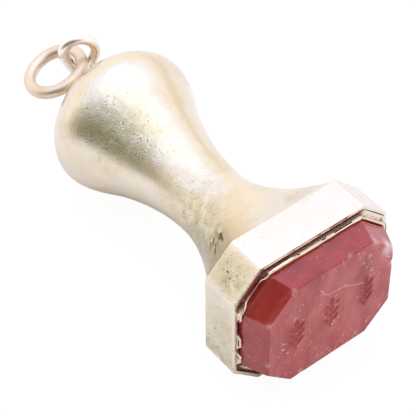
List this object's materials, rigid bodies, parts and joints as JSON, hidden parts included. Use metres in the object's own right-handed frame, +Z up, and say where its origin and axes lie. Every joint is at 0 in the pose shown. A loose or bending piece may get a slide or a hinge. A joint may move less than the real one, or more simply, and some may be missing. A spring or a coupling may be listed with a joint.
{
  "type": "fob seal",
  "caption": "Fob seal with a waisted bulb handle, an octagonal case that holds an engraved flat stone, and an eye with a jump ring.",
  "frame": {"origin": "centre of the footprint of the lying seal, on the surface that it lies on", "axes": "+Z up, +Y along the handle from the stone towards the eye and jump ring, +X along the long side of the case"},
  "size_m": [0.018, 0.0436, 0.0155],
  "materials": {
    "rolled_gold": "worn polish with pits and patina",
    "bezel_gold": "worn satin",
    "carnelian": "polished, scratched and chipped",
    "rose_gold": "polished wire"
  },
  "bodies": {
    "root": {"seal_body": "rolled_gold", "bezel": "bezel_gold", "seal_stone": "carnelian", "jump_ring": "rose_gold"}
  },
  "joints": []
}
